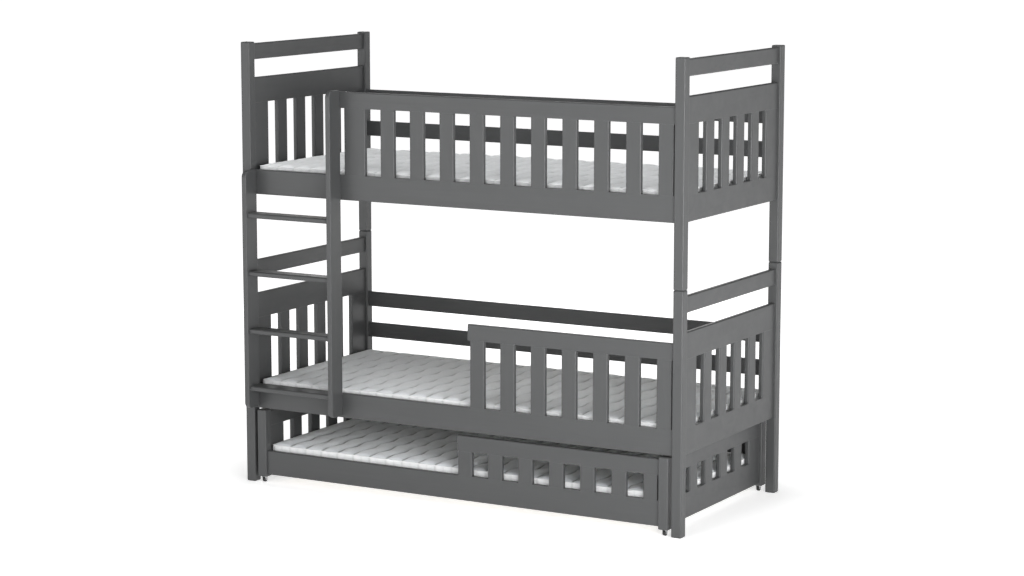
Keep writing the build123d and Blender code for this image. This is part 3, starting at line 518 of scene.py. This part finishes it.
def cover_shape():
    """The swollen cover of one mattress, which all three use."""
    points, cell, faces, side, n = lattice(LENGTH0, WIDTH0, THICK0, CHANNELS0)
    flat = shape(points, LENGTH0, WIDTH0, THICK0)
    puffed = inflate(flat, faces, cell, n)
    move = puffed - flat
    move[:, 2] *= PLUMP
    far = np.linalg.norm(move, axis=1)
    cap = 0.0085
    move *= (np.minimum(far, cap) / np.maximum(far, 1e-9))[:, None]
    puffed = flat + move
    return points, puffed, cell, faces, side, n, LENGTH0


def shorter(base):
    """The same cover with its middle channel taken out, for the shorter mattress. Both cut columns are sewn down, so they meet."""
    points, puffed, cell, faces, side, n, length = base
    a = len(EDGE_STEPS) - 1 + CHANNELS0 // 2 * PER_CHANNEL
    b = a + PER_CHANNEL
    column = cell[:, 0]
    where = {tuple(c): v for v, c in enumerate(cell)}
    stay = (column <= a) | (column > b)
    new = np.cumsum(stay) - 1
    for v in np.nonzero(column == b)[0]:
        new[v] = new[where[(a, cell[v][1], cell[v][2])]]
    kept = [q for q, f in enumerate(faces) if not (min(column[v] for v in f) >= a and max(column[v] for v in f) <= b)]
    shift = np.where(column <= a, PITCH0 / 2, -PITCH0 / 2)
    points, puffed = points.copy(), puffed.copy()
    points[:, 0] += shift
    puffed[:, 0] += shift
    cell = cell.copy()
    cell[:, 0] -= np.where(column > b, PER_CHANNEL, 0)
    return (points[stay], puffed[stay], cell[stay], [[int(new[v]) for v in faces[q]] for q in kept],
            [side[q] for q in kept], (n[0] - PER_CHANNEL, n[1], n[2]), length - PITCH0)


BASE = cover_shape()
SHORT = shorter(BASE)


def mattress(name, node, body, base, panel, turned, grow):
    """Places one cover in the space of its CAD solid, adds crown, sag and slack, and sews on the welts."""
    lo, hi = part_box(node)
    points, puffed, cell, faces, side, n, length = base
    nx, ny, nz = n
    i, j, k = cell.T
    first = len(EDGE_STEPS) - 1
    size = (hi - lo)
    kx, ky, kz = (size.x - 0.004) / length, (size.y - 0.004) / WIDTH0, size.z / 0.084
    p = puffed.copy()
    rng = np.random.default_rng(grow)

    # where the seams are: across the panels, and upright on the border
    s = points[:, 0] + length / 2 - EDGE_STEPS[-1]
    half = PITCH0 / 2
    on_panel = (k == 0) | (k == nz)
    at_front = (j == 0) | (j == ny)
    u_panel = np.abs(s / PITCH0 - np.round(s / PITCH0)) * PITCH0
    u_panel = np.where((s < half) | (s > length - 2 * EDGE_STEPS[-1] - half), half, u_panel)
    count = np.round(s / half)
    u_front = np.abs(s - count * half) + np.where(count % 2 == 0, 0.0, 0.0036)
    row = 2 * (WIDTH0 - 2 * EDGE_STEPS[-1]) / (ny - 2 * first)
    t = points[:, 1] + WIDTH0 / 2 - EDGE_STEPS[-1]
    u_end = np.abs(t - np.round(t / row) * row)
    u = np.where(at_front, u_front, np.where(on_panel, u_panel, u_end))
    v = np.where(on_panel & ~at_front, points[:, 1], points[:, 2])

    # the thread pulls a narrow trench into the panel, and small puckers run off it
    room = smooth((WIDTH0 / 2 - np.abs(points[:, 1])) / 0.030)
    pucker = np.zeros(len(p))
    for _ in range(10):
        f = rng.uniform(60.0, 165.0)
        lean, ph = rng.uniform(-50.0, 50.0), rng.uniform(0, 2 * np.pi)
        pucker += np.sin(f * points[:, 1] + lean * points[:, 0] + ph) / 10 ** 0.5
    drop = TRENCH * np.exp(-(u_panel / 0.0048) ** 2) + 0.00065 * pucker * np.exp(-u_panel / 0.014)
    p[:, 2] -= np.where(k == nz, drop * room, 0.0)
    upright = np.exp(-(u / 0.0045) ** 2) * np.sin(np.pi * np.clip(points[:, 2] / THICK0, 0, 1))
    p[:, 1] -= np.where(at_front, np.sign(points[:, 1]) * 0.0016 * upright, 0.0)
    at_end = ((i == 0) | (i == nx)) & ~at_front
    p[:, 0] -= np.where(at_end, np.sign(points[:, 0]) * 0.0014 * upright, 0.0)

    if turned:
        p[:, 0] *= -1
        p[:, 1] *= -1
    ax, ay = p[:, 0] / (length / 2), p[:, 1] / (WIDTH0 / 2)
    up = smooth(p[:, 2] / THICK0)
    # a foam core is a little fuller in the middle, and a used cover is never quite even
    crown = 0.0016 * np.maximum(1 - ax ** 2, 0) ** 0.5 * np.maximum(1 - ay ** 2, 0) ** 0.5
    uneven = np.zeros(len(p))
    for _ in range(14):
        f = rng.uniform(2.0, 11.0, 2)
        ph = rng.uniform(0, 2 * np.pi, 2)
        uneven += rng.uniform(0.3, 1.0) / f.mean() * np.sin(f[0] * p[:, 0] + ph[0]) * np.sin(f[1] * p[:, 1] + ph[1])
    uneven *= 0.0016 / max(1e-9, np.abs(uneven).max())
    p[:, 2] += up * (crown + uneven)
    # sides draw in a little between the corners
    pull = 0.0018 * np.sin(np.pi * np.clip(p[:, 2] / THICK0, 0, 1))
    p[:, 1] -= np.sign(p[:, 1]) * pull * (np.abs(ay) > 0.97) * np.maximum(1 - ax ** 2, 0)
    p[:, 0] -= np.sign(p[:, 0]) * pull * (np.abs(ax) > 0.985) * np.maximum(1 - ay ** 2, 0)
    p *= (kx, ky, kz)
    p[:, 2] += 0.001
    centre = (lo + hi) / 2
    p += (centre.x, centre.y, lo.z)
    obj = mesh_object(name, p, faces)
    mesh = obj.data
    mesh.materials.append(panel)
    mesh.materials.append(BORDER_FABRIC)
    mesh.polygons.foreach_set("material_index", np.array([0 if q < 2 else 1 for q in side], np.int32))
    for key, values in (("seam_u", u), ("seam_v", v)):
        a = mesh.attributes.new(key, "FLOAT", "POINT")
        a.data.foreach_set("value", values.astype(np.float32))
    # sewn lines stay crisp when the mesh is subdivided
    wave = seam_vertices(cell, n)
    ends = np.zeros(len(mesh.edges) * 2, np.int32)
    mesh.edges.foreach_get("vertices", ends)
    ends = ends.reshape(-1, 2)
    same_column = (i[ends[:, 0]] == i[ends[:, 1]])
    crease = np.where(wave[ends[:, 0]] & wave[ends[:, 1]] & same_column, 0.7, 0.0)
    a = mesh.attributes.new("crease_edge", "FLOAT", "EDGE")
    a.data.foreach_set("value", crease.astype(np.float32))
    mod = obj.modifiers.new("fine", "SUBSURF")
    mod.levels = mod.render_levels = 1
    evaluated = obj.evaluated_get(bpy.context.evaluated_depsgraph_get())
    fine = bpy.data.meshes.new_from_object(evaluated, preserve_all_data_layers=True, depsgraph=bpy.context.evaluated_depsgraph_get())
    obj.modifiers.clear()
    old = obj.data
    obj.data = fine
    bpy.data.meshes.remove(old)
    fine.name = name
    fine.polygons.foreach_set("use_smooth", np.ones(len(fine.polygons), bool))
    fine.update()
    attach(obj, body)
    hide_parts(node)
    # a welt in the seam between border and panel, above and below
    for which, height in (("top", kz * THICK0 + 0.001 - 0.0016), ("bottom", 0.0030)):
        welt(f"{name}_welt_{which}", body, centre, (kx * length / 2, ky * WIDTH0 / 2), lo.z + height)
    return obj


def welt(name, body, centre, half, z):
    """A slim fabric-covered cord that follows the rounded outline of the cover."""
    half_x, half_y, r = half[0] - 0.0017, half[1] - 0.0017, CORNER - 0.0017
    path = []
    straight_x, straight_y = half_x - r, half_y - r
    for cx, cy, start in ((straight_x, straight_y, 0.0), (-straight_x, straight_y, 0.5), (-straight_x, -straight_y, 1.0), (straight_x, -straight_y, 1.5)):
        for q in range(9):
            a = math.pi * (start + q / 16)
            path.append((cx + r * math.cos(a), cy + r * math.sin(a), math.cos(a), math.sin(a)))
    # long straights get more stops, so the welt can wander a little
    full = []
    for m in range(len(path)):
        a, b = path[m], path[(m + 1) % len(path)]
        gap = math.hypot(b[0] - a[0], b[1] - a[1])
        count = max(1, int(gap / 0.02))
        for q in range(count):
            t = q / count
            full.append(tuple(a[w] * (1 - t) + b[w] * t for w in range(4)))
    w = 10
    points, us, vs, run = [], [], [], 0.0
    for m, (x, y, nx_, ny_) in enumerate(full):
        if m:
            run += math.hypot(x - full[m - 1][0], y - full[m - 1][1])
        thick = 0.0018 + 0.00012 * math.sin(run * 61.0) + 0.00008 * math.sin(run * 147.0 + 0.7)
        wander = 0.0004 * math.sin(run * 9.1) + 0.0003 * math.sin(run * 23.7 + 1.3)
        for q in range(w):
            a = 2 * math.pi * q / w
            out = thick * math.cos(a)
            points.append((centre.x + x + nx_ * out, centre.y + y + ny_ * out, z + thick * math.sin(a) + wander))
            us.append(0.0018 * math.sin(a))
            vs.append(run)
    faces = []
    for m in range(len(full)):
        b = (m + 1) % len(full)
        for q in range(w):
            q2 = (q + 1) % w
            faces.append((m * w + q, b * w + q, b * w + q2, m * w + q2))
    obj = mesh_object(name, points, faces, WELT_FABRIC)
    mesh = obj.data
    bm = bmesh.new()
    bm.from_mesh(mesh)
    bmesh.ops.recalc_face_normals(bm, faces=bm.faces)
    bm.to_mesh(mesh)
    bm.free()
    for key, values in (("seam_u", us), ("seam_v", vs)):
        a = mesh.attributes.new(key, "FLOAT", "POINT")
        a.data.foreach_set("value", np.array(values, np.float32))
    mesh.polygons.foreach_set("use_smooth", np.ones(len(mesh.polygons), bool))
    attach(obj, body)
    return obj


mattress("mattress_lower_cover", "mattress_lower", "bed_frame", BASE, LOWER_FABRIC_LESS_SHADE, False, 11)
mattress("mattress_upper_cover", "mattress_upper", "bed_frame", BASE, UPPER_FABRIC_LEAST_SHADE, True, 23)
mattress("mattress_trundle_cover", "mattress_trundle", "trundle", SHORT, PANEL_FABRIC, False, 37)


# ---------------------------------------------------------------- floor, light and camera
FLOOR_NEAR, FLOOR_FAR = 0.53, 0.98      # how much the light floor glows, under the bed and far from it


def floor_material():
    """Pale seamless studio ground, lit from below as a light table is, more so away from the bed."""
    s = Shade("pale_floor")
    wide = s.noise(s.place, 0.7, 3.0, 0.5)
    fine = s.noise(s.place, 260.0, 2.0, 0.6)
    colour = s.mix(s.span(wide, 0.3, 0.7, 0.0, 1.0), (0.88, 0.88, 0.88), (0.90, 0.90, 0.90))
    reach = s.vmath("LENGTH", s.vmath("MULTIPLY", s.place, (1.0, 1.0, 0.0)))
    glow = s.span(reach, 0.8, 5.0, FLOOR_NEAR, FLOOR_FAR, True)
    s.bsdf.inputs["Emission Color"].default_value = (1.0, 1.0, 1.0, 1.0)
    return s.set(Base_Color=colour, Roughness=s.span(fine, 0.3, 0.7, 0.72, 0.85), Normal=s.bump(fine, 0.05, 0.0002), Specular_IOR_Level=0.2, Emission_Strength=glow)


def floor():
    """Flat ground that reaches past the horizon line of every view."""
    rings, spokes = (1.5, 4.0, 10.0, 30.0, 90.0, 260.0), 96
    points, faces = [(0.0, 0.0, 0.0)], []
    for r in rings:
        for q in range(spokes):
            a = 2 * math.pi * q / spokes
            points.append((r * math.cos(a), r * math.sin(a), 0.0))
    for q in range(spokes):
        faces.append((0, 1 + q, 1 + (q + 1) % spokes))
    for m in range(len(rings) - 1):
        for q in range(spokes):
            a, b = 1 + m * spokes + q, 1 + m * spokes + (q + 1) % spokes
            faces.append((a, a + spokes, b + spokes, b))
    mesh_object("floor", points, faces, floor_material())


floor()


def soft_box(name, azimuth, height, distance, size, power):
    """Large soft light at an azimuth from straight in front, towards the right, and at an angle over level."""
    az, el = math.radians(azimuth), math.radians(height)
    aim = Vector((0.0, 0.0, 0.9))
    place = aim + distance * Vector((math.sin(az) * math.cos(el), -math.cos(az) * math.cos(el), math.sin(el)))
    light = bpy.data.lights.new(name, "AREA")
    light.shape = "RECTANGLE"
    light.size, light.size_y = size, size * 0.8
    light.energy = power
    obj = bpy.data.objects.new(name, light)
    scene.collection.objects.link(obj)
    obj.location = place
    obj.rotation_mode = "QUATERNION"
    obj.rotation_quaternion = (aim - place).to_track_quat("-Z", "Y")
    obj.visible_camera = False


soft_box("key_right", 50, 2, 4.0, 2.2, 122.0)
soft_box("edge_right", 78, 8, 5.0, 3.0, 20.0)
soft_box("fill_left", -40, 8, 5.0, 3.0, 27.0)
soft_box("fill_left_low", -25, 4, 5.0, 3.0, 16.0)
soft_box("front_high", 0, 42, 5.0, 3.0, 44.0)
soft_box("front_steep", 12, 60, 5.0, 2.4, 31.0)
soft_box("overhead", 0, 89, 8.5, 1.8, 300.0)
soft_box("back_fill", 208, 12, 5.0, 3.0, 34.0)

# white haze along the horizon, darker overhead
world = bpy.data.worlds.new("studio")
scene.world = world
world.use_nodes = True
sky = world.node_tree
ray = sky.nodes.new("ShaderNodeTexCoord")
split = sky.nodes.new("ShaderNodeSeparateXYZ")
fade = sky.nodes.new("ShaderNodeMapRange")
fade.interpolation_type = "SMOOTHSTEP"
sky.links.new(ray.outputs["Generated"], split.inputs[0])
sky.links.new(split.outputs["Z"], fade.inputs["Value"])
for key, value in (("From Min", 0.02), ("From Max", 0.20), ("To Min", 0.97), ("To Max", 0.05)):
    fade.inputs[key].default_value = value
sky.links.new(fade.outputs["Result"], sky.nodes["Background"].inputs["Strength"])
sky.nodes["Background"].inputs["Color"].default_value = (1.0, 1.0, 1.0, 1.0)

scene.view_settings.view_transform = "Standard"
scene.view_settings.look = "None"
scene.view_settings.exposure = 0.0

# the photograph's own viewpoint, solved from the bed's edges
CAM_PLACE = Vector((5.15642, -9.00072, 2.41249))
CAM_YAW, CAM_PITCH, CAM_FOCAL_PX = 0.51799, 0.15236, 2613.78
forward = Vector((-math.sin(CAM_YAW) * math.cos(CAM_PITCH), math.cos(CAM_YAW) * math.cos(CAM_PITCH), -math.sin(CAM_PITCH)))
cam_data = bpy.data.cameras.new("camera")
cam_data.sensor_fit = "HORIZONTAL"
cam_data.sensor_width = 36.0
cam_data.lens = CAM_FOCAL_PX * 36.0 / 1024.0
cam_data.clip_start, cam_data.clip_end = 0.1, 100.0
camera = bpy.data.objects.new("camera", cam_data)
scene.collection.objects.link(camera)
camera.location = CAM_PLACE
camera.rotation_mode = "QUATERNION"
camera.rotation_quaternion = forward.to_track_quat("-Z", "Y")
scene.camera = camera
